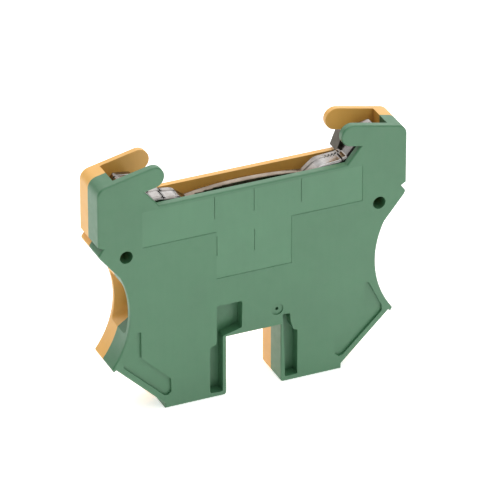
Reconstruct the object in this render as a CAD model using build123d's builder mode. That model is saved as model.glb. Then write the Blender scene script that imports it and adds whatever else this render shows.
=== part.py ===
"""Protective-earth screw terminal for a 35 mm top-hat rail, in millimetres.

X runs along the long side, Y through the thickness from the green half to the yellow half,
+Z points to the rail side. Z = 0 is the pair of flat faces that the screwdriver enters.
"""
from build123d import *
import os
from math import cos, radians, sin

os.makedirs("parts", exist_ok=True)

# Overall size
width = 56.0
thickness = 7.9
height = 46.5
half_width = width / 2
front_y = -thickness / 2
rear_y = thickness / 2

# Housing halves
split_y = 0.25
cheek = 1.2
inner_front_y = front_y + cheek
inner_rear_y = rear_y - cheek
notch_half = 5.0
notch_top = 11.25
plateau_end = 16.25
lip_height = 0.93
slope_end = (25.0, 9.42)
slope_lip = (25.45, 9.1)
arc_start = (25.78, 9.78)
arc_deepest = (22.45, 20.2)
arc_end = (24.05, 26.9)
lip_tip = (27.95, 31.95)
lip_undercut = 0.3
lip_root_z = 31.35
lip_radius = 0.3
leg_radius = 0.5
groove_apex = (27.13, 33.13)
side_start_z = 33.63

# Hooks round the rail
finger_tip = (17.95, 44.55)
finger_radius = height - finger_tip[1]
finger_slope = radians(12.3)
hook_corner = (19.5, 42.23)
shoulder_radius = 1.9
rim_end_x = 17.05
rim_z_green = 39.26
rim_z_yellow = 38.77
channel_half = 24.8
channel_floor = 33.4

# Clamping points
screw_x = 11.2
well_radius = 2.95
ledge_z = 5.9
ledge_hole_radius = 2.1
yoke_length = 5.4
yoke_width = 5.2
yoke_wall = 0.8
yoke_bottom = 11.5
yoke_thread_wall = 2.5
yoke_top = 24.6
yoke_far_wall = 1.0
yoke_corner = 0.9
yoke_travel = 3.6
side_gap = 0.1
seam_width = 0.12
chamber_half = yoke_length / 2 + side_gap
chamber_bottom = yoke_bottom - yoke_travel - 0.3
chamber_top = yoke_top + 0.3

# Clamp screws, M3.5 x 0.6
thread_pitch = 0.6
thread_radius = 1.7
thread_depth = 0.28
thread_clearance = 0.05
head_radius = 2.4
head_bottom = 3.2
head_top = 5.6
slot_width = 0.8
slot_depth = 1.2
head_chamfer = 0.25
neck_length = 0.6
tip_chamfer = 0.3
screw_tip_z = 16.2

# Current bar and ground post
bar_half_length = 15.0
bar_width = 3.3
bar_bottom = 16.3
bar_thickness = 1.5
bar_top = bar_bottom + bar_thickness
post_width = 7.0
tenon_width = 4.0
post_top = 37.0

groove_pitch = 0.8
groove_size = 0.4

# Rail foot: a bar on edge, with a thicker claw in front of each end
bar_rear_y = 1.2
leaf_joint_y = 0.0
post_front_y = -1.6
claw_front_y = -2.45
jaw_web_rear_y = 2.0
jaw_plate_rear_y = 3.85
foot_bottom = 34.6
arch_top = 38.27
hump_root = (10.6, 37.5)
hump_rise = (12.9, 39.3)
hump_crest_z = 39.55
step_z = 39.9
hump_radius = 2.2
step_radius = 0.8
step_half = 0.45
jaw_throat = (19.1, 41.6)
jaw_back = (20.2, 43.9)
jaw_crown = (23.2, 44.3)
foot_end_x = 24.4
foot_end_z = 43.0
claw_start_x = 9.4
claw_rounding = 0.5
leaf_rounding = 0.2
crease_width = 0.35
crease_depth = 0.75

# Crease and start of the jaw's ramp, from the middle, at each end of each leaf
left_claw_bend = (15.6, 17.6)
right_claw_bend = (16.8, 17.6)
left_bar_bend = (15.2, 17.3)
right_bar_bend = (17.2, 18.1)

# Notches in the right-hand hump, beside the joint between its leaves
tooth_pitch = 0.6
tooth_size = 0.34
tooth_reach = 0.45
tooth_count = 4
bar_tooth_x = 14.9
claw_tooth_x = 14.5

# Jaw plates over the hooks' slanted walls
jaw_foot = (17.3, 39.4)
jaw_head = (18.45, 42.3)
jaw_plate_thickness = 0.82
web_foot = (18.9, 36.4)
web_corner = (23.2, 40.6)
web_head_drop = 0.4

# Rivets through the foot
rivet_radius = 0.8
rivet_head_radius = 1.35
rivet_head_height = 0.4
rivet_head_taper = 25
post_rivet = (2.0, 35.9)
claw_rivet = (12.8, 36.5)
jaw_rivet = (21.4, 38.2)

# Wire entries
wire_z = 20.2
throat_x = 19.4
throat_height = 4.5
throat_width = 4.8
mouth_x = 25.8
funnel_slope = 0.70
entry_corner = 0.8
mouth_width = 7.2

# Recesses in the faces
edge_radius = 0.3
pocket_depth = 2.0
label_band_depth = 0.4
field_depth = 0.07
divider_width = 0.14
divider_depth = 0.16
gate_mark = (4.3, 14.5)
gate_disc_radius = 1.1
gate_disc_depth = 0.2
gate_pit_radius = 0.3
gate_pit_depth = 0.8
tag_seat_length = 8.0
tag_seat_width = 5.2
tag_seat_depth = 0.9

# Pegs that join the halves
peg_x = 23.0
peg_z = 30.76
peg_hole_radius = 1.15
peg_radius = 1.1
peg_end_y = -0.3


def at_y(y):
    """Plane across the thickness at y; extruding from it goes towards -Y."""
    return Plane.XZ.offset(-y)


def along_finger(distance, side):
    """Point on the finger's top (side 1) or underside (side -1), from its round end outwards."""
    x = finger_tip[0] + side * finger_radius * sin(finger_slope) + distance * cos(finger_slope)
    z = finger_tip[1] + side * finger_radius * cos(finger_slope) - distance * sin(finger_slope)
    return (x, z)


def finger_end_point():
    """Outermost point of the finger's round end."""
    x = finger_tip[0] - finger_radius * cos(finger_slope)
    z = finger_tip[1] + finger_radius * sin(finger_slope)
    return (x, z)


def housing_outline(rim_z, hook_foot_x):
    """Side view of a housing half, symmetrical about x = 0."""
    top_start = along_finger(0, 1)
    shoulder_run = (half_width - top_start[0]) / cos(finger_slope)
    shoulder = along_finger(shoulder_run, 1)
    underside_start = along_finger(0, -1)
    with BuildSketch() as outline:
        with BuildLine():
            Polyline(
                (0, notch_top),
                (notch_half, notch_top),
                (notch_half, 0),
                (plateau_end, 0),
                (plateau_end, lip_height),
                slope_end,
                slope_lip,
                arc_start,
            )
            ThreePointArc(arc_start, arc_deepest, arc_end)
            Polyline(
                arc_end,
                (lip_tip[0] - lip_undercut, lip_root_z),
                lip_tip,
                groove_apex,
                (half_width, side_start_z),
                shoulder,
                top_start,
            )
            ThreePointArc(top_start, finger_end_point(), underside_start)
            Polyline(
                underside_start,
                hook_corner,
                (hook_foot_x, rim_z),
                (0, rim_z),
            )
            mirror(about=Plane.YZ)
        make_face()
        shoulders = outline.vertices().group_by(Axis.Y)[-3:]
        corners = [v for group in shoulders for v in group if abs(abs(v.X) - half_width) < 0.01]
        fillet(corners, shoulder_radius)
        leg_corners = [v for v in outline.vertices() if v.Y < 0.01 and abs(v.X) < notch_half + 0.1]
        fillet(leg_corners, leg_radius)
        lip_corners = [v for v in outline.vertices() if abs(v.Y - lip_tip[1]) < 0.01]
        fillet(lip_corners, lip_radius)
    return outline.sketch


def rail_channel():
    """Space between the cheeks on the rail side, open upwards."""
    with BuildSketch() as channel:
        with Locations((0, channel_floor)):
            Rectangle(2 * channel_half, height, align=(Align.CENTER, Align.MIN))
    return channel.sketch


def pocket(points, radius):
    """Closed recess outline with rounded corners."""
    with BuildSketch() as recess:
        with BuildLine():
            Polyline(*points, close=True)
        make_face()
        fillet(recess.vertices(), radius)
    return recess.sketch


def paired_rectangles(centre_x, bottom, size_x, size_z):
    """Two equal rectangles at plus and minus centre_x, standing on height bottom."""
    with BuildSketch() as pair:
        with Locations((-centre_x, bottom), (centre_x, bottom)):
            Rectangle(size_x, size_z, align=(Align.CENTER, Align.MIN))
    return pair.sketch


def centred_rectangle(bottom, size_x, size_z):
    """Rectangle centred on x = 0, standing on height bottom."""
    with BuildSketch() as single:
        with Locations((0, bottom)):
            Rectangle(size_x, size_z, align=(Align.CENTER, Align.MIN))
    return single.sketch


def fields(boxes):
    """Rectangles given by their left, top, right and bottom edges, as one sketch."""
    with BuildSketch() as area:
        for left, top, right, bottom in boxes:
            with Locations(((left + right) / 2, (top + bottom) / 2)):
                Rectangle(right - left, top - bottom)
    return area.sketch


def cut_profile(profile, high_y, low_y):
    """Cut a side-view profile out of the part being built, from high_y down to low_y."""
    with BuildSketch(at_y(high_y)) as cut:
        add(profile)
    extrude(cut.sketch, amount=high_y - low_y, mode=Mode.SUBTRACT)


def cut_screw_wells():
    """Cut the wells that the screwdriver enters, each with a ledge above the screw's head."""
    upright = (Align.CENTER, Align.CENTER, Align.MIN)
    with Locations((-screw_x, 0, 0), (screw_x, 0, 0)):
        Cylinder(well_radius, ledge_z, align=upright, mode=Mode.SUBTRACT)
        Cylinder(ledge_hole_radius, chamber_bottom, align=upright, mode=Mode.SUBTRACT)


def entry_section(x, size_y, size_z):
    """Rounded section of a wire entry at x."""
    with BuildSketch(Plane.YZ.offset(x)) as section:
        with Locations((0, wire_z)):
            RectangleRounded(size_y, size_z, entry_corner)
    return section.sketch


def cut_wire_entries():
    """Cut the funnels that lead the wires from the arched sides into the yokes."""
    mouth_height = throat_height + 2 * funnel_slope * (mouth_x - throat_x)
    for side in (-1, 1):
        inner = entry_section(side * screw_x, throat_width, throat_height)
        throat = entry_section(side * throat_x, throat_width, throat_height)
        mouth = entry_section(side * mouth_x, mouth_width, mouth_height)
        loft([inner.face(), throat.face()], mode=Mode.SUBTRACT)
        loft([throat.face(), mouth.face()], mode=Mode.SUBTRACT)


def cut_tag_seats():
    """Cut the shallow seats for marker tags in the two slanted faces."""
    middle_x = (plateau_end + slope_end[0]) / 2
    middle_z = (lip_height + slope_end[1]) / 2
    for side in (-1, 1):
        slanted = Plane(origin=(side * middle_x, 0, middle_z), x_dir=(0, 1, 0), z_dir=(side, 0, -1))
        with BuildSketch(slanted) as seat:
            Rectangle(tag_seat_width, tag_seat_length)
        extrude(seat.sketch, amount=-tag_seat_depth, mode=Mode.SUBTRACT)


green_outline = housing_outline(rim_z_green, rim_end_x)
yellow_outline = housing_outline(rim_z_yellow, rim_end_x + 1.0)
channel_sketch = rail_channel()
yoke_chambers = paired_rectangles(screw_x, chamber_bottom, 2 * chamber_half, chamber_top - chamber_bottom)
bar_seat = centred_rectangle(bar_bottom, 2 * bar_half_length, bar_thickness)
post_passage = centred_rectangle(bar_top, post_width, channel_floor - bar_top)

# Recesses in the green face
left_pocket = pocket(
    [
        (-6.8, 17.65),
        (-2.1, 17.6),
        (-2.2, 12.5),
        (-5.7, 11.6),
        (-5.7, 0.8),
        (-8.05, 0.95),
        (-8.05, 9.8),
        (-6.8, 10.3),
    ],
    0.35,
)
right_pocket = pocket(
    [
        (5.3, 13.3),
        (6.7, 13.1),
        (6.75, 11.8),
        (7.3, 9.9),
        (8.05, 9.6),
        (8.05, 0.95),
        (5.75, 0.95),
        (5.65, 5.8),
    ],
    0.2,
)
label_band = pocket(
    [
        (21.2, 15.9),
        (23.75, 10.7),
        (23.7, 9.6),
        (16.5, 2.7),
        (15.8, 2.5),
        (15.1, 3.1),
        (15.2, 5.6),
        (20.5, 10.8),
        (20.5, 15.9),
    ],
    0.3,
)
with BuildSketch() as both_bands:
    add(label_band)
    mirror(about=Plane.YZ)
marking_fields = fields([(-20.1, 38.6, 19.9, 31.85), (-6.8, 31.85, 6.9, 22.9)])
with BuildSketch() as dividers:
    for x, low_z, high_z in (
        (-7.1, 34.5, 38.6),
        (0.05, 34.4, 38.6),
        (8.64, 34.2, 38.6),
        (-6.7, 27.4, 31.0),
        (0.13, 26.9, 30.9),
    ):
        with Locations((x, low_z)):
            Rectangle(divider_width, high_z - low_z, align=(Align.CENTER, Align.MIN))
with BuildSketch() as gate_disc:
    with Locations(gate_mark):
        Circle(gate_disc_radius)
with BuildSketch() as gate_pit:
    with Locations(gate_mark):
        Circle(gate_pit_radius)


# ---------------------------------------------------------------- green half
with BuildPart() as green_shell:
    with BuildSketch(at_y(inner_front_y)):
        add(green_outline)
    extrude(amount=cheek)
    outer_edges = green_shell.faces().sort_by(Axis.Y)[0].edges()
    fillet(outer_edges, edge_radius)
    with BuildSketch(at_y(split_y)):
        add(green_outline)
        add(channel_sketch, mode=Mode.SUBTRACT)
    extrude(amount=split_y - inner_front_y)
    cut_profile(yoke_chambers, split_y, inner_front_y)
    cut_profile(bar_seat, split_y, -bar_width / 2)
    cut_profile(post_passage, split_y, post_front_y)
    cut_screw_wells()
    cut_wire_entries()
    cut_tag_seats()
    cut_profile(left_pocket, front_y + pocket_depth, front_y)
    cut_profile(right_pocket, front_y + pocket_depth, front_y)
    cut_profile(both_bands.sketch, front_y + label_band_depth, front_y)
    cut_profile(marking_fields, front_y + field_depth, front_y)
    cut_profile(dividers.sketch, front_y + divider_depth, front_y)
    cut_profile(gate_disc.sketch, front_y + gate_disc_depth, front_y)
    cut_profile(gate_pit.sketch, front_y + gate_pit_depth, front_y)
    with BuildSketch(at_y(split_y)):
        with Locations((-peg_x, peg_z), (peg_x, peg_z)):
            Circle(peg_hole_radius)
    extrude(amount=split_y - front_y, mode=Mode.SUBTRACT)
green_shell.part.label = "green_shell"
export_step(green_shell.part, "parts/green_shell.step")


# ---------------------------------------------------------------- yellow half
with BuildPart() as yellow_shell:
    with BuildSketch(at_y(rear_y)):
        add(yellow_outline)
    extrude(amount=cheek)
    outer_edges = yellow_shell.faces().sort_by(Axis.Y)[-1].edges()
    fillet(outer_edges, edge_radius)
    with BuildSketch(at_y(inner_rear_y)):
        add(yellow_outline)
        add(channel_sketch, mode=Mode.SUBTRACT)
    extrude(amount=inner_rear_y - split_y)
    cut_profile(yoke_chambers, inner_rear_y, split_y)
    cut_profile(bar_seat, bar_width / 2, split_y)
    cut_screw_wells()
    cut_wire_entries()
    cut_tag_seats()
    cut_profile(both_bands.sketch, rear_y, rear_y - label_band_depth)
    with BuildSketch(at_y(split_y)):
        with Locations((-peg_x, peg_z), (peg_x, peg_z)):
            Circle(peg_radius)
    extrude(amount=split_y - peg_end_y)
yellow_shell.part.label = "yellow_shell"
export_step(yellow_shell.part, "parts/yellow_shell.step")


# ---------------------------------------------------------------- current bar and post
with BuildPart() as current_bar:
    with BuildSketch(Plane.XY.offset(bar_bottom)):
        Rectangle(2 * bar_half_length, bar_width)
        with Locations((0, (post_front_y + leaf_joint_y) / 2)):
            Rectangle(tenon_width, leaf_joint_y - post_front_y, mode=Mode.SUBTRACT)
    extrude(amount=bar_thickness)
    # bite grooves where the wires are clamped
    with BuildSketch(at_y(bar_width / 2)):
        for centre_x in (-screw_x, screw_x):
            with Locations([(centre_x + step * groove_pitch, bar_top) for step in range(-2, 3)]):
                Rectangle(groove_size, groove_size, rotation=45)
    extrude(amount=bar_width, mode=Mode.SUBTRACT)
current_bar.part.label = "current_bar"
export_step(current_bar.part, "parts/current_bar.step")

with BuildPart() as ground_post:
    with BuildSketch(at_y(leaf_joint_y)):
        with Locations((0, bar_top)):
            Rectangle(post_width, post_top - bar_top, align=(Align.CENTER, Align.MIN))
        with Locations((0, bar_bottom)):
            Rectangle(tenon_width, bar_thickness, align=(Align.CENTER, Align.MIN))
        with Locations((-post_rivet[0], post_rivet[1]), post_rivet):
            Circle(rivet_radius, mode=Mode.SUBTRACT)
    extrude(amount=leaf_joint_y - post_front_y)
ground_post.part.label = "ground_post"
export_step(ground_post.part, "parts/ground_post.step")


# ---------------------------------------------------------------- rail foot
def foot_end(bend):
    """Side view of the foot's right-hand end: hump, step up at the crease, and ramp to the jaw."""
    crease_x, ramp_x = bend
    with BuildSketch() as end:
        with BuildLine():
            FilletPolyline(
                (claw_start_x, foot_bottom),
                (claw_start_x, hump_root[1] - 0.4),
                hump_root,
                hump_rise,
                (crease_x - step_half, hump_crest_z),
                (crease_x + step_half, step_z),
                (ramp_x, step_z),
                jaw_throat,
                jaw_back,
                jaw_crown,
                (foot_end_x, foot_end_z),
                (foot_end_x, foot_bottom),
                radius=[0.3, 0.3, hump_radius, step_radius, step_radius, 0.4, 0.8, 0.6, 0.5, 0.3],
            )
            Line((foot_end_x, foot_bottom), (claw_start_x, foot_bottom))
        make_face()
    return end.sketch


def crease(bend):
    """Narrow V across the top of the foot's right-hand end, where its strip is bent."""
    middle_x = bend[0]
    with BuildSketch() as fold:
        with BuildLine():
            Polyline(
                (middle_x - crease_width / 2, step_z + 0.1),
                (middle_x + crease_width / 2, step_z + 0.1),
                (middle_x, step_z - crease_depth),
                close=True,
            )
        make_face()
    return fold.sketch


def serrations(first_x):
    """Row of small notches along the top of the right-hand hump."""
    with BuildSketch() as teeth:
        with Locations([(first_x + step * tooth_pitch, hump_crest_z) for step in range(tooth_count)]):
            Rectangle(tooth_size, tooth_size, rotation=45)
    return teeth.sketch


def rounded_top(leaf, y, radius):
    """Round the edges along a leaf's top on the face at y."""
    face_edges = leaf.edges().filter_by_position(Axis.Y, y - 0.01, y + 0.01)
    high_edges = [e for e in face_edges if e.center().Z > hump_root[1] - 0.3]
    fillet([e for e in high_edges if abs(e.center().X) < jaw_back[0]], radius)


def rivet_holes():
    """Sketch of the right-hand end's two rivet holes."""
    with BuildSketch() as holes:
        with Locations(claw_rivet, jaw_rivet):
            Circle(rivet_radius)
    return holes.sketch


right_end_holes = rivet_holes()

with BuildPart() as foot_bar:
    with BuildSketch(at_y(bar_rear_y)):
        with BuildLine():
            ThreePointArc((-hump_root[0], hump_root[1]), (0, arch_top), hump_root)
            Polyline(
                hump_root,
                (hump_root[0], foot_bottom),
                (-hump_root[0], foot_bottom),
                (-hump_root[0], hump_root[1]),
            )
        make_face()
        add(foot_end(right_bar_bend))
        add(mirror(foot_end(left_bar_bend), about=Plane.YZ, mode=Mode.PRIVATE))
    extrude(amount=bar_rear_y - leaf_joint_y)
    rounded_top(foot_bar, leaf_joint_y, leaf_rounding)
    rounded_top(foot_bar, bar_rear_y, leaf_rounding)
    cut_profile(crease(right_bar_bend), bar_rear_y, leaf_joint_y)
    cut_profile(mirror(crease(left_bar_bend), about=Plane.YZ, mode=Mode.PRIVATE), bar_rear_y, leaf_joint_y)
    cut_profile(serrations(bar_tooth_x), leaf_joint_y + tooth_reach, leaf_joint_y)
    cut_profile(right_end_holes, bar_rear_y, leaf_joint_y)
    cut_profile(mirror(right_end_holes, about=Plane.YZ, mode=Mode.PRIVATE), bar_rear_y, leaf_joint_y)
    with BuildSketch(at_y(bar_rear_y)):
        with Locations((-post_rivet[0], post_rivet[1]), post_rivet):
            Circle(rivet_radius)
    extrude(amount=bar_rear_y - leaf_joint_y, mode=Mode.SUBTRACT)
foot_bar.part.label = "foot_bar"
export_step(foot_bar.part, "parts/foot_bar.step")


def claw(leaf, bend):
    """Build a right-hand claw into the part being built, without its notches."""
    with BuildSketch(at_y(leaf_joint_y)) as side:
        add(foot_end(bend))
    extrude(side.sketch, amount=leaf_joint_y - claw_front_y)
    rounded_top(leaf, leaf_joint_y, leaf_rounding)
    rounded_top(leaf, claw_front_y, claw_rounding)
    cut_profile(crease(bend), leaf_joint_y, claw_front_y)
    cut_profile(right_end_holes, leaf_joint_y, claw_front_y)


with BuildPart() as right_claw:
    claw(right_claw, right_claw_bend)
    cut_profile(serrations(claw_tooth_x), leaf_joint_y, leaf_joint_y - tooth_reach)
right_claw.part.label = "right_claw"
export_step(right_claw.part, "parts/right_claw.step")

with BuildPart() as mirrored_claw:
    claw(mirrored_claw, left_claw_bend)

with BuildPart() as left_claw:
    mirror(mirrored_claw.part, about=Plane.YZ)
left_claw.part.label = "left_claw"
export_step(left_claw.part, "parts/left_claw.step")

with BuildPart() as right_jaw_plate:
    plate_foot = (jaw_foot[0] + jaw_plate_thickness, jaw_foot[1])
    plate_head = (jaw_head[0] + jaw_plate_thickness, jaw_head[1] - web_head_drop)
    # web riveted behind the bar
    with BuildSketch(at_y(jaw_web_rear_y)):
        with BuildLine():
            Polyline(
                plate_foot,
                web_foot,
                (web_corner[0], web_foot[1]),
                web_corner,
                plate_head,
                jaw_head,
                jaw_foot,
                close=True,
            )
        make_face()
        with Locations(jaw_rivet):
            Circle(rivet_radius, mode=Mode.SUBTRACT)
    extrude(amount=jaw_web_rear_y - bar_rear_y)
    # plate bent over the hook's slanted wall
    with BuildSketch(at_y(jaw_plate_rear_y)):
        with BuildLine():
            Polyline(jaw_foot, jaw_head, plate_head, plate_foot, close=True)
        make_face()
    extrude(amount=jaw_plate_rear_y - bar_rear_y)
right_jaw_plate.part.label = "right_jaw_plate"
export_step(right_jaw_plate.part, "parts/right_jaw_plate.step")

with BuildPart() as left_jaw_plate:
    mirror(right_jaw_plate.part, about=Plane.YZ)
left_jaw_plate.part.label = "left_jaw_plate"
export_step(left_jaw_plate.part, "parts/left_jaw_plate.step")


def rivet_head(x, z, face_y, direction):
    """Add a domed rivet head on the face at face_y, standing out along Y in the given direction."""
    with BuildSketch(at_y(face_y)) as base:
        with Locations((x, z)):
            Circle(rivet_head_radius)
    extrude(base.sketch, amount=-direction * rivet_head_height, taper=rivet_head_taper)


def rivet(x, z, rear_grip_y, front_grip_y):
    """Add a rivet along Y to the part being built, with its head behind and its other end flush."""
    with BuildSketch(at_y(rear_grip_y)) as shank:
        with Locations((x, z)):
            Circle(rivet_radius)
    extrude(shank.sketch, amount=rear_grip_y - front_grip_y)
    rivet_head(x, z, rear_grip_y, 1)


with BuildPart() as foot_rivets:
    for side in (-1, 1):
        rivet(side * post_rivet[0], post_rivet[1], bar_rear_y, post_front_y)
        rivet_head(side * post_rivet[0], post_rivet[1], post_front_y, -1)
        rivet(side * claw_rivet[0], claw_rivet[1], bar_rear_y, claw_front_y)
foot_rivets.part.label = "foot_rivets"
export_step(foot_rivets.part, "parts/foot_rivets.step")

with BuildPart() as jaw_rivets:
    for side in (-1, 1):
        rivet(side * jaw_rivet[0], jaw_rivet[1], jaw_web_rear_y, claw_front_y)
jaw_rivets.part.label = "jaw_rivets"
export_step(jaw_rivets.part, "parts/jaw_rivets.step")


# ---------------------------------------------------------------- yokes
window_half = yoke_width / 2 - yoke_wall
window_bottom = yoke_bottom + yoke_thread_wall
window_top = yoke_top - yoke_far_wall

with BuildPart() as right_yoke:
    with BuildSketch(Plane.YZ.offset(screw_x - yoke_length / 2)):
        with Locations((0, (yoke_bottom + yoke_top) / 2)):
            RectangleRounded(yoke_width, yoke_top - yoke_bottom, yoke_corner)
        with Locations((0, (window_bottom + window_top) / 2)):
            Rectangle(2 * window_half, window_top - window_bottom, mode=Mode.SUBTRACT)
    extrude(amount=yoke_length)
    # threaded hole
    with Locations((screw_x, 0, yoke_bottom)):
        Cylinder(
            thread_radius + thread_clearance,
            yoke_thread_wall,
            align=(Align.CENTER, Align.CENTER, Align.MIN),
            mode=Mode.SUBTRACT,
        )
    # seam between the strip's two overlapping ends
    with BuildSketch(Plane.YZ.offset(screw_x - yoke_length / 2)):
        with Locations((-window_half, yoke_bottom + yoke_thread_wall / 2)):
            Rectangle(2 * yoke_wall, seam_width)
    extrude(amount=yoke_length, mode=Mode.SUBTRACT)
    # bite grooves across the far wall
    with BuildSketch(at_y(window_half)):
        with Locations([(screw_x + step * groove_pitch, window_top) for step in range(-2, 3)]):
            Rectangle(groove_size, groove_size, rotation=45)
    extrude(amount=2 * window_half, mode=Mode.SUBTRACT)
right_yoke.part.label = "right_yoke"
export_step(right_yoke.part, "parts/right_yoke.step")

with BuildPart() as left_yoke:
    mirror(right_yoke.part, about=Plane.YZ)
left_yoke.part.label = "left_yoke"
export_step(left_yoke.part, "parts/left_yoke.step")


# ---------------------------------------------------------------- clamp screws
def screw_profile():
    """Half section of a slotted screw, radius along X and height along Y."""
    thread_start = head_top + neck_length
    thread_count = int((screw_tip_z - tip_chamfer - thread_start) / thread_pitch)
    root_radius = thread_radius - thread_depth
    points = [
        (0, head_bottom),
        (head_radius - head_chamfer, head_bottom),
        (head_radius, head_bottom + head_chamfer),
        (head_radius, head_top),
        (root_radius, head_top),
        (root_radius, thread_start),
    ]
    for turn in range(thread_count):
        low = thread_start + turn * thread_pitch
        points.append((thread_radius, low + thread_pitch / 2))
        points.append((root_radius, low + thread_pitch))
    points.append((root_radius, screw_tip_z - tip_chamfer))
    points.append((root_radius - tip_chamfer, screw_tip_z))
    points.append((0, screw_tip_z))
    with BuildSketch() as section:
        with BuildLine():
            Polyline(*points, close=True)
        make_face()
    return section.sketch


screw_section = screw_profile()

with BuildPart() as right_clamp_screw:
    with BuildSketch(Plane(origin=(screw_x, 0, 0), x_dir=(1, 0, 0), z_dir=(0, -1, 0))):
        add(screw_section)
    revolve(axis=Axis((screw_x, 0, 0), (0, 0, 1)))
    with Locations((screw_x, 0, head_bottom)):
        Box(
            2 * head_radius,
            slot_width,
            slot_depth,
            align=(Align.CENTER, Align.CENTER, Align.MIN),
            mode=Mode.SUBTRACT,
        )
right_clamp_screw.part.label = "right_clamp_screw"
export_step(right_clamp_screw.part, "parts/right_clamp_screw.step")

with BuildPart() as left_clamp_screw:
    with Locations((-2 * screw_x, 0, 0)):
        add(right_clamp_screw.part)
left_clamp_screw.part.label = "left_clamp_screw"
export_step(left_clamp_screw.part, "parts/left_clamp_screw.step")
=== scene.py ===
"""Looks of the protective-earth rail terminal: materials, floor, light and camera round the CAD frame.

Lengths are in metres. X runs along the long side, Y from the green half to the yellow half,
and +Z to the rail side.
"""
from math import cos, radians, sin

import bpy
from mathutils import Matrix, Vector


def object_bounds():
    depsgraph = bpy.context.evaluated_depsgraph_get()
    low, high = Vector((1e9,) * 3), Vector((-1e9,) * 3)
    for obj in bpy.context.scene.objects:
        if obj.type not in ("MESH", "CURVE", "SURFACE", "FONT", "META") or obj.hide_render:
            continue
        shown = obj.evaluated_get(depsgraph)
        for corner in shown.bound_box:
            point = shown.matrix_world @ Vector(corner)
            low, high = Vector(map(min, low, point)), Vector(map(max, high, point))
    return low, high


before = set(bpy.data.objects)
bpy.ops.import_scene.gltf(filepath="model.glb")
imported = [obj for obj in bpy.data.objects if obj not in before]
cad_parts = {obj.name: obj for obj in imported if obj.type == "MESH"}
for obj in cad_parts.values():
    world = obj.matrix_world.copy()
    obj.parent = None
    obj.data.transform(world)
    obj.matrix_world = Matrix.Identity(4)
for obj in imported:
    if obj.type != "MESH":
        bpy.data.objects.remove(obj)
cad_low, cad_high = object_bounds()

MM = 0.001
white = (1, 1, 1)

# Sunk marking fields of the green face, and how far behind that face their floor lies
upper_field_x = (-20.1 * MM, 19.9 * MM)
upper_field_z = (31.85 * MM, 38.6 * MM)
lower_field_x = (-6.8 * MM, 6.9 * MM)
lower_field_z = (22.9 * MM, 31.85 * MM)
field_floor_y = (cad_low.y + 0.03 * MM, cad_low.y + 0.12 * MM)
field_edge_blur = 0.05 * MM
field_floor_blur = 0.02 * MM

# Middle stretch of the rail foot, darkened and browned by painted shade and a painted reflection of the yellow
# rim, as it lies deep between the rims
shaded_middle_x = (-11.5 * MM, 11.5 * MM)
shaded_middle_blur = 1.2 * MM

# Directions in which drawn metal is marked: noise is stretched along the axis that has the small number
along_x = (0.05, 1, 1)
along_z = (1, 1, 0.05)

# Floor
floor_half_size = 3.0
floor_gap = 0.05 * MM
floor_glow = 0.62

# Camera, to the left of the front and above it
camera_azimuth = -23.806
camera_elevation = 29.704
camera_distance = 901.8 * MM
camera_target = Vector((1.02 * MM, 0, 24.63 * MM))
camera_lens = 387.4
camera_sensor = 36


# ---------------------------------------------------------------- node helpers
def new_material(name):
    """A node material with only a Principled shader and its output."""
    material = bpy.data.materials.new(name)
    material.use_nodes = True
    tree = material.node_tree
    tree.nodes.clear()
    output = tree.nodes.new("ShaderNodeOutputMaterial")
    shader = tree.nodes.new("ShaderNodeBsdfPrincipled")
    tree.links.new(shader.outputs["BSDF"], output.inputs["Surface"])
    return material, tree, shader


def noise(tree, grain, stretch=(1, 1, 1), detail=4, roughness=0.55):
    """Noise whose features are about grain metres across, longer where stretch is below 1."""
    place = tree.nodes.new("ShaderNodeTexCoord")
    mapping = tree.nodes.new("ShaderNodeMapping")
    mapping.inputs["Scale"].default_value = stretch
    texture = tree.nodes.new("ShaderNodeTexNoise")
    texture.inputs["Scale"].default_value = 1 / grain
    texture.inputs["Detail"].default_value = detail
    texture.inputs["Roughness"].default_value = roughness
    tree.links.new(place.outputs["Object"], mapping.inputs["Vector"])
    tree.links.new(mapping.outputs["Vector"], texture.inputs["Vector"])
    return texture.outputs["Fac"]


def ramp(tree, factor, stops):
    """Colour ramp over factor, with stops of (position, colour)."""
    node = tree.nodes.new("ShaderNodeValToRGB")
    elements = node.color_ramp.elements
    while len(elements) < len(stops):
        elements.new(0.5)
    for element, (position, colour) in zip(elements, stops):
        element.position = position
        element.color = (*colour, 1)
    tree.links.new(factor, node.inputs["Fac"])
    return node.outputs["Color"]


def map_range(tree, value, source, target):
    """Value moved from the range source to the range target, and kept inside it."""
    node = tree.nodes.new("ShaderNodeMapRange")
    node.inputs["From Min"].default_value = source[0]
    node.inputs["From Max"].default_value = source[1]
    node.inputs["To Min"].default_value = target[0]
    node.inputs["To Max"].default_value = target[1]
    tree.links.new(value, node.inputs["Value"])
    return node.outputs["Result"]


def spread(tree, factor, low, high):
    """Noise factor, which mostly lies from 0.3 to 0.7, spread over low to high."""
    return map_range(tree, factor, (0.3, 0.7), (low, high))


def tint(tree, colour, shade):
    """Colour times a shade."""
    node = tree.nodes.new("ShaderNodeMix")
    node.data_type = "RGBA"
    node.blend_type = "MULTIPLY"
    node.inputs["Factor"].default_value = 1
    tree.links.new(colour, node.inputs["A"])
    tree.links.new(shade, node.inputs["B"])
    return node.outputs["Result"]


def combine(tree, operation, first, second):
    """One arithmetic step on two values, such as MULTIPLY or MAXIMUM."""
    node = tree.nodes.new("ShaderNodeMath")
    node.operation = operation
    tree.links.new(first, node.inputs[0])
    tree.links.new(second, node.inputs[1])
    return node.outputs["Value"]


def between(tree, value, limits, blur):
    """Mask that is 1 where value lies within limits, and fades over blur on each side of them."""
    low, high = limits
    rising = map_range(tree, value, (low - blur, low + blur), (0, 1))
    falling = map_range(tree, value, (high - blur, high + blur), (1, 0))
    return combine(tree, "MULTIPLY", rising, falling)


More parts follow.
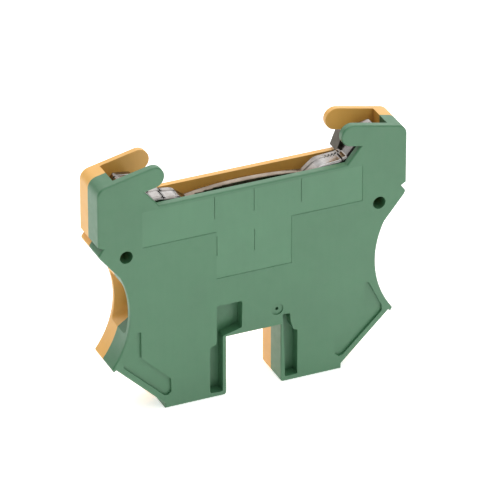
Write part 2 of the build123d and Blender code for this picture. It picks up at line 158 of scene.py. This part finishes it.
def place_along(tree, axis):
    """Place along X, Y or Z on the object."""
    place = tree.nodes.new("ShaderNodeTexCoord")
    parts = tree.nodes.new("ShaderNodeSeparateXYZ")
    tree.links.new(place.outputs["Object"], parts.inputs["Vector"])
    return parts.outputs[axis]


def bump(tree, shader, height, distance, strength, under=None):
    """Bump of the given height field, on top of another bump's normal."""
    node = tree.nodes.new("ShaderNodeBump")
    node.inputs["Distance"].default_value = distance
    node.inputs["Strength"].default_value = strength
    tree.links.new(height, node.inputs["Height"])
    if under is not None:
        tree.links.new(under, node.inputs["Normal"])
    tree.links.new(node.outputs["Normal"], shader.inputs["Normal"])
    return node.outputs["Normal"]


# ---------------------------------------------------------------- materials
def polished_panels(tree, panel_tint):
    """Shade that is panel_tint on the floor of the two sunk marking fields, and white elsewhere."""
    x, y, z = (place_along(tree, axis) for axis in "XYZ")
    upper_width = between(tree, x, upper_field_x, field_edge_blur)
    upper_height = between(tree, z, upper_field_z, field_edge_blur)
    upper = combine(tree, "MULTIPLY", upper_width, upper_height)
    lower_width = between(tree, x, lower_field_x, field_edge_blur)
    lower_height = between(tree, z, lower_field_z, field_edge_blur)
    lower = combine(tree, "MULTIPLY", lower_width, lower_height)
    fields = combine(tree, "MAXIMUM", upper, lower)
    floor_only = between(tree, y, field_floor_y, field_floor_blur)
    mask = combine(tree, "MULTIPLY", fields, floor_only)
    return ramp(tree, mask, ((0, white), (1, panel_tint)))


def moulded_plastic(name, colour, panel_tint=None):
    """Matt injection-moulded polyamide: faint clouding, flow streaks and an eroded grain."""
    material, tree, shader = new_material(name)
    darker = tuple(0.96 * c for c in colour)
    lighter = tuple(1.04 * c for c in colour)
    clouds = ramp(tree, noise(tree, 9 * MM), ((0.35, darker), (0.65, lighter)))
    streaks = spread(tree, noise(tree, 0.6 * MM, stretch=(1, 1, 0.08)), 0.985, 1.015)
    shade = tint(tree, clouds, streaks)
    if panel_tint is not None:
        shade = tint(tree, shade, polished_panels(tree, panel_tint))
    tree.links.new(shade, shader.inputs["Base Color"])
    patches = spread(tree, noise(tree, 1.4 * MM), 0.40, 0.51)
    tree.links.new(patches, shader.inputs["Roughness"])
    grain = bump(tree, shader, noise(tree, 0.11 * MM, detail=2), distance=0.012 * MM, strength=0.4)
    bump(tree, shader, noise(tree, 3.5 * MM), distance=0.03 * MM, strength=0.3, under=grain)
    shader.inputs["IOR"].default_value = 1.62
    return material


def metal(name, bright, dull, roughness, stretch=(1, 1, 1), wave=0.01 * MM, middle_shade=None):
    """Plated metal with cloudy tarnish, fine drawing marks and a slightly wavy surface.

    The colour given for the middle stretch, where there is one, is painted shade and a painted reflection of
    the yellow rim, as that stretch lies deep between the rims.
    """
    material, tree, shader = new_material(name)
    stains = ramp(tree, noise(tree, 3.5 * MM, detail=3), ((0.35, dull), (0.65, bright)))
    # Painted shade and painted reflection: the middle stretch is darkened and browned where it lies deep
    # between the rims
    if middle_shade is not None:
        middle = between(tree, place_along(tree, "X"), shaded_middle_x, shaded_middle_blur)
        stains = tint(tree, stains, ramp(tree, middle, ((0, white), (1, middle_shade))))
    tree.links.new(stains, shader.inputs["Base Color"])
    shader.inputs["Metallic"].default_value = 1
    marks = noise(tree, 0.15 * MM, stretch=stretch, detail=3)
    tree.links.new(spread(tree, marks, roughness - 0.04, roughness + 0.05), shader.inputs["Roughness"])
    fine = bump(tree, shader, marks, distance=0.003 * MM, strength=0.4)
    bump(tree, shader, noise(tree, 2.2 * MM, detail=2), distance=wave, strength=0.5, under=fine)
    return material


green = moulded_plastic("green_polyamide", colour=(0.058, 0.183, 0.087), panel_tint=(1.20, 1.12, 1.17))
yellow = moulded_plastic("yellow_polyamide", colour=(0.80, 0.425, 0.088))
tinned = metal(
    "tinned_copper",
    bright=(0.42, 0.39, 0.35),
    dull=(0.32, 0.29, 0.25),
    roughness=0.27,
    stretch=along_x,
)
foot_metal = metal(
    "tinned_foot",
    bright=(0.36, 0.35, 0.345),
    dull=(0.20, 0.18, 0.165),
    roughness=0.20,
    stretch=along_x,
    wave=0.03 * MM,
    # Painted shade and painted reflection of the yellow rim on the middle of the foot bar
    middle_shade=(0.6, 0.5, 0.4),
)
spring = metal(
    "spring_steel",
    bright=(0.15, 0.135, 0.11),
    dull=(0.09, 0.08, 0.065),
    roughness=0.36,
    stretch=along_z,
)
rivet_metal = metal("rivet_metal", bright=(0.58, 0.56, 0.53), dull=(0.46, 0.44, 0.41), roughness=0.30)
zinc = metal(
    "zinc_steel",
    bright=(0.56, 0.56, 0.56),
    dull=(0.44, 0.44, 0.45),
    roughness=0.32,
    stretch=along_z,
)
screw_steel = metal("screw_steel", bright=(0.52, 0.52, 0.53), dull=(0.40, 0.40, 0.41), roughness=0.28)

finishes = {
    "green_shell": green,
    "yellow_shell": yellow,
    "current_bar": tinned,
    "ground_post": tinned,
    "foot_bar": foot_metal,
    "left_claw": foot_metal,
    "right_claw": foot_metal,
    "left_jaw_plate": spring,
    "right_jaw_plate": spring,
    "foot_rivets": rivet_metal,
    "jaw_rivets": rivet_metal,
    "left_yoke": zinc,
    "right_yoke": zinc,
    "left_clamp_screw": screw_steel,
    "right_clamp_screw": screw_steel,
}
for node, material in finishes.items():
    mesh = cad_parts[node].data
    mesh.materials.clear()
    mesh.materials.append(material)


# ---------------------------------------------------------------- floor
def pale_floor():
    """Plain pale floor, a hair below the object so that the two don't share a plane."""
    floor_z = cad_low.z - floor_gap
    signs = ((-1, -1), (1, -1), (1, 1), (-1, 1))
    corners = [(floor_half_size * x, floor_half_size * y, floor_z) for x, y in signs]
    mesh = bpy.data.meshes.new("floor")
    mesh.from_pydata(corners, [], [(0, 1, 2, 3)])
    floor = bpy.data.objects.new("floor", mesh)
    bpy.context.scene.collection.objects.link(floor)
    material, tree, shader = new_material("pale_floor")
    paper = ramp(tree, noise(tree, 40 * MM), ((0.3, (0.93, 0.93, 0.93)), (0.7, (0.95, 0.95, 0.95))))
    tree.links.new(paper, shader.inputs["Base Color"])
    shader.inputs["Roughness"].default_value = 0.9
    shader.inputs["Emission Color"].default_value = (*white, 1)
    shader.inputs["Emission Strength"].default_value = floor_glow
    mesh.materials.append(material)


pale_floor()


# ---------------------------------------------------------------- light
def direction_to(azimuth, elevation):
    """Unit vector away from the object, for degrees of azimuth (0 in front, 90 to the right) and elevation."""
    turn, lift = radians(azimuth), radians(elevation)
    return Vector((sin(turn) * cos(lift), -cos(turn) * cos(lift), sin(lift)))


def aim(item, target, direction, distance):
    """Put a light or camera at distance from target, facing it."""
    item.location = target + direction * distance
    item.rotation_mode = "QUATERNION"
    item.rotation_quaternion = (-direction).to_track_quat("-Z", "Y")
    bpy.context.scene.collection.objects.link(item)


def softbox(name, azimuth, elevation, distance, size, power):
    """Square area light aimed at the object's middle."""
    light = bpy.data.lights.new(name, "AREA")
    light.shape = "SQUARE"
    light.size = size
    light.energy = power
    middle = (cad_low + cad_high) / 2
    aim(bpy.data.objects.new(name, light), middle, direction_to(azimuth, elevation), distance)


softbox("overhead_back", azimuth=170, elevation=60, distance=1.1, size=2.0, power=17.5)
softbox("back_low", azimuth=148, elevation=16, distance=1.0, size=0.7, power=1.4)
softbox("back_left_low", azimuth=-146, elevation=17, distance=1.0, size=0.5, power=0.6)
softbox("overhead", azimuth=0, elevation=80, distance=1.0, size=1.4, power=5)
softbox("front_high", azimuth=10, elevation=50, distance=1.0, size=1.2, power=2.2)
softbox("front_low", azimuth=40, elevation=20, distance=0.7, size=0.6, power=0.9)
softbox("left_low", azimuth=-110, elevation=10, distance=1.0, size=0.6, power=0.15)

world = bpy.data.worlds.new("white_room")
world.use_nodes = True
background = world.node_tree.nodes["Background"]
background.inputs["Color"].default_value = (*white, 1)
background.inputs["Strength"].default_value = 0.04
bpy.context.scene.world = world
bpy.context.scene.view_settings.view_transform = "Standard"


# ---------------------------------------------------------------- camera
def studio_camera():
    """Long-lens camera that looks down at the object."""
    lens = bpy.data.cameras.new("camera")
    lens.lens = camera_lens
    lens.sensor_width = camera_sensor
    camera = bpy.data.objects.new("camera", lens)
    aim(camera, camera_target, direction_to(camera_azimuth, camera_elevation), camera_distance)
    bpy.context.scene.camera = camera


studio_camera()
